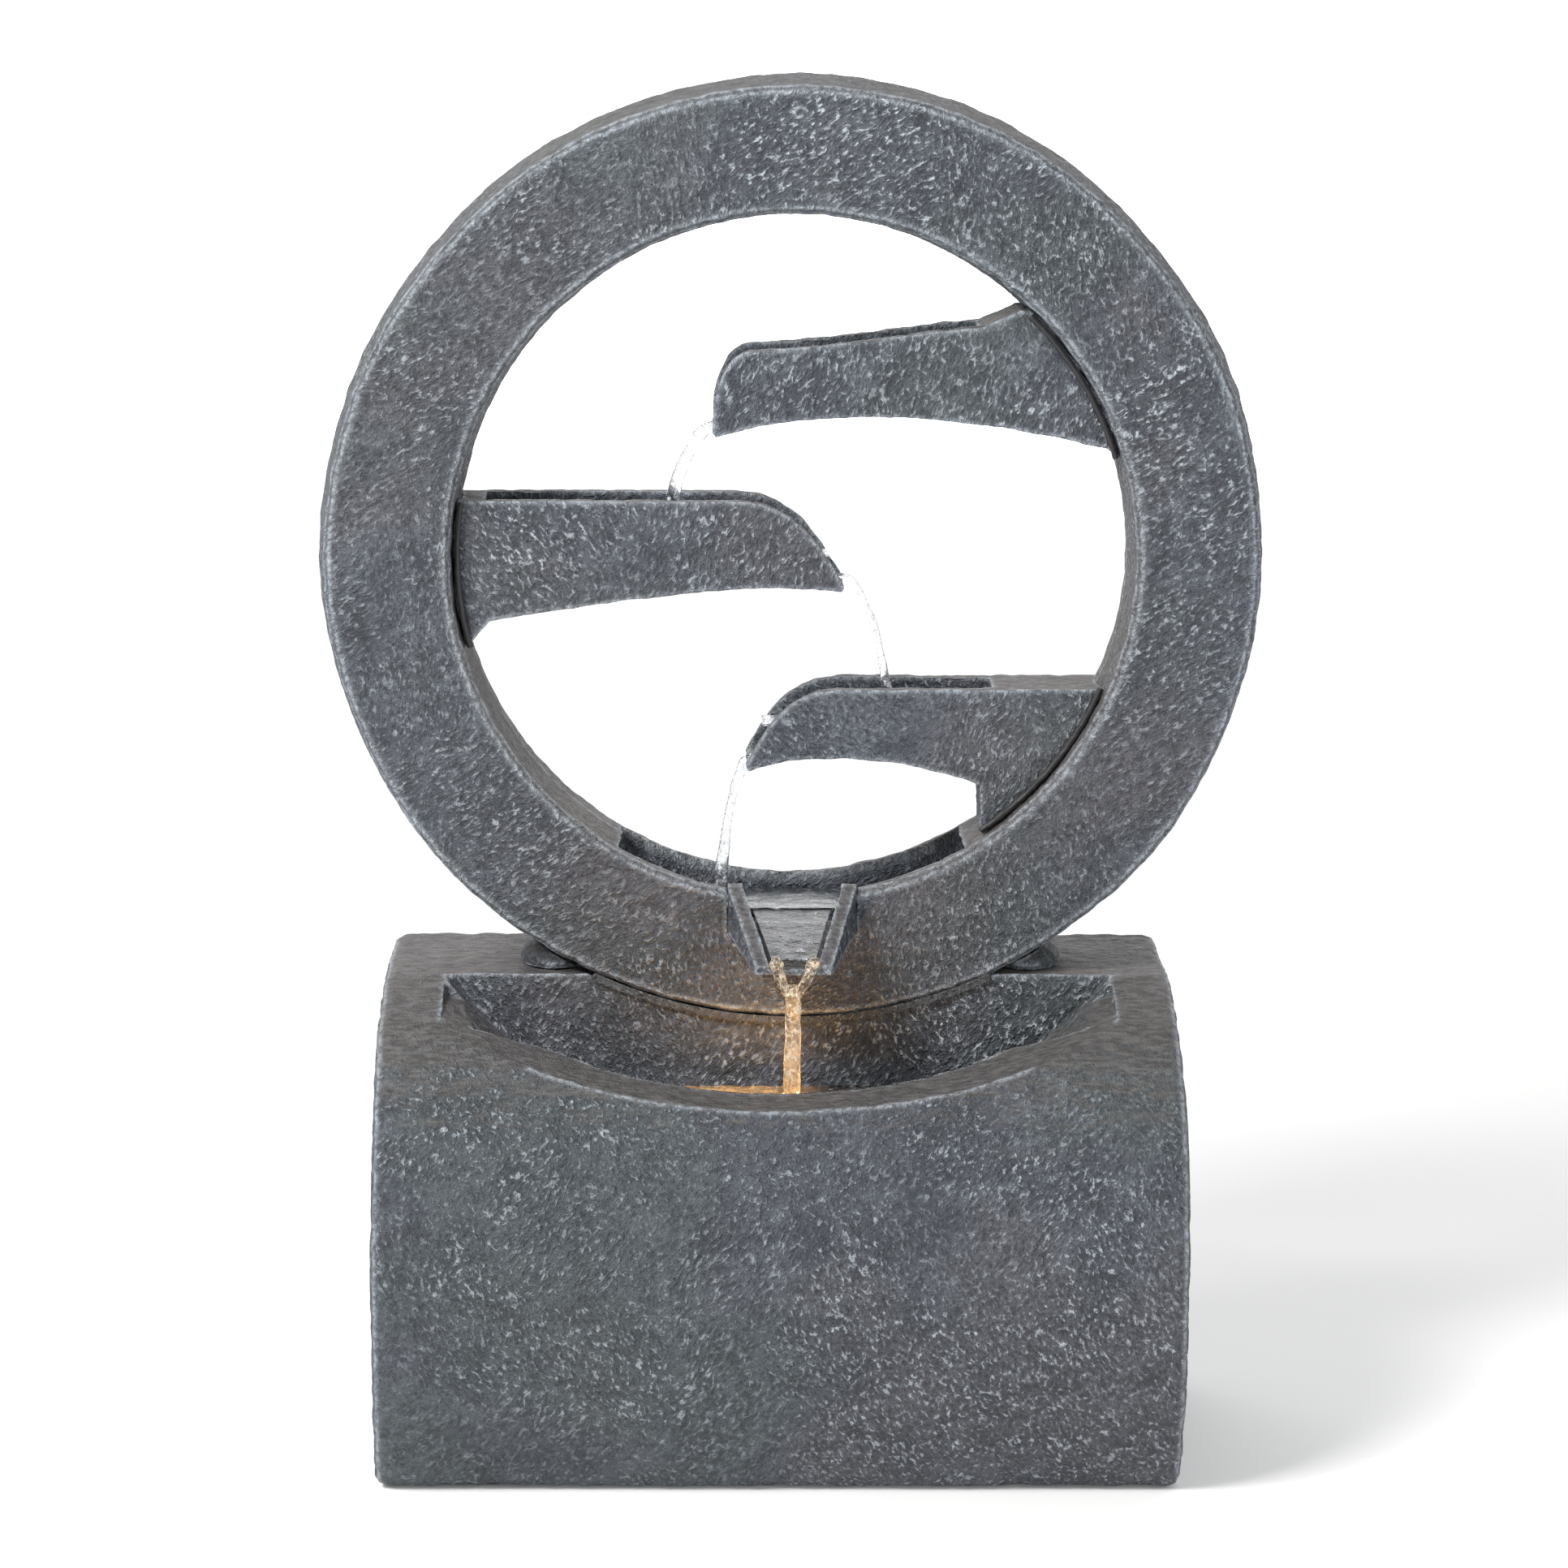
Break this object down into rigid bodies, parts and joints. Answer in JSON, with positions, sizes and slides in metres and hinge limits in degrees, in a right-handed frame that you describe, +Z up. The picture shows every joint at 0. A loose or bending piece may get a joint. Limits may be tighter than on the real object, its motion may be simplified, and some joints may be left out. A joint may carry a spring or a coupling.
{
  "type": "tiered water fountain",
  "caption": "Free-standing garden fountain: a hollow ring on a bowed base, with alternating spouts that step water down to a lip over a lit pool.",
  "frame": {"origin": "centre of the overall footprint, on the ground the base stands on", "axes": "+Z up, -Y towards the front with the pool and the lip, +X to the right seen from the front"},
  "size_m": [0.695, 0.352, 1],
  "materials": {
    "cast_stone": "trowelled blue-grey casting with chalky white dry-brushed relief",
    "mortar": "rough grey",
    "sealant": "satin black bead",
    "black_plastic": "matte black",
    "grey_plastic": "matte grey",
    "rubber": "matte black",
    "clear_hose": "translucent milky",
    "stainless_steel": "brushed",
    "rotor_magnet": "dark ferrite moulding",
    "ceramic": "ground",
    "lens_glass": "clear",
    "light_board": "yellow phosphor on a white board"
  },
  "bodies": {
    "root": {"base_shell": "cast_stone", "ring_front_shell": "cast_stone", "ring_rear_shell": "cast_stone", "channel_liner": "cast_stone", "lip_spout": "cast_stone", "upper_spout": "cast_stone", "middle_spout": "cast_stone", "lower_spout": "cast_stone", "foot_mortar_left": "mortar", "foot_mortar_right": "mortar", "upper_spout_sealant": "sealant", "middle_spout_sealant": "sealant", "lower_spout_sealant": "sealant", "foot_dowel_left": "stainless_steel", "foot_dowel_right": "stainless_steel", "hose_clamp_pump_end": "stainless_steel", "hose_clamp_wall_end": "stainless_steel", "hose_clamp_riser_end": "stainless_steel", "pump_housing": "black_plastic", "pump_intake_cover": "black_plastic", "bulkhead_fitting": "black_plastic", "bulkhead_nut": "black_plastic", "outlet_nozzle": "black_plastic", "led_bracket": "black_plastic", "pump_foot_1": "rubber", "pump_foot_2": "rubber", "pump_foot_3": "rubber", "pump_foot_4": "rubber", "shaft_bush": "rubber", "bulkhead_washer": "rubber", "cable_grommet": "rubber", "pump_hose": "clear_hose", "riser_hose": "clear_hose", "impeller_shaft": "ceramic"},
    "impeller": {"impeller": "rotor_magnet"},
    "flow_dial": {"flow_dial": "grey_plastic"},
    "light": {"led_housing": "black_plastic", "led_board": "light_board", "led_seal": "rubber", "led_lens": "lens_glass"},
    "rear_cover": {"rear_cover": "grey_plastic", "cover_gasket": "rubber"},
    "thumbscrew_left": {"cover_thumbscrew_left": "stainless_steel"},
    "thumbscrew_right": {"cover_thumbscrew_right": "stainless_steel"},
    "drain_plug": {"drain_plug": "rubber"}
  },
  "joints": [
    {"name": "impeller_spin", "type": "hinge", "parent": "root", "child": "impeller", "pos_m": [0.03, -0.052, 0.11], "axis": [1, 0, 0], "continuous": true},
    {"name": "flow_dial_turn", "type": "hinge", "parent": "root", "child": "flow_dial", "pos_m": [0.0142, -0.04, 0.134], "axis": [0, 0, 1], "range_deg": [0, 180]},
    {"name": "light_tilt", "type": "hinge", "parent": "root", "child": "light", "pos_m": [-0.036, -0.045, 0.214], "axis": [1, 0, 0], "range_deg": [-45, 45]},
    {"name": "rear_cover_pull", "type": "slide", "parent": "root", "child": "rear_cover", "axis": [0, 1, 0], "range_m": [0, 0.06]},
    {"name": "thumbscrew_left_turn", "type": "hinge", "parent": "rear_cover", "child": "thumbscrew_left", "pos_m": [-0.086, 0.17, 0.14], "axis": [0, 1, 0], "continuous": true},
    {"name": "thumbscrew_right_turn", "type": "hinge", "parent": "rear_cover", "child": "thumbscrew_right", "pos_m": [0.066, 0.17, 0.14], "axis": [0, 1, 0], "continuous": true},
    {"name": "drain_plug_pull", "type": "slide", "parent": "root", "child": "drain_plug", "axis": [0, 0, 1], "range_m": [0, 0.06]}
  ]
}
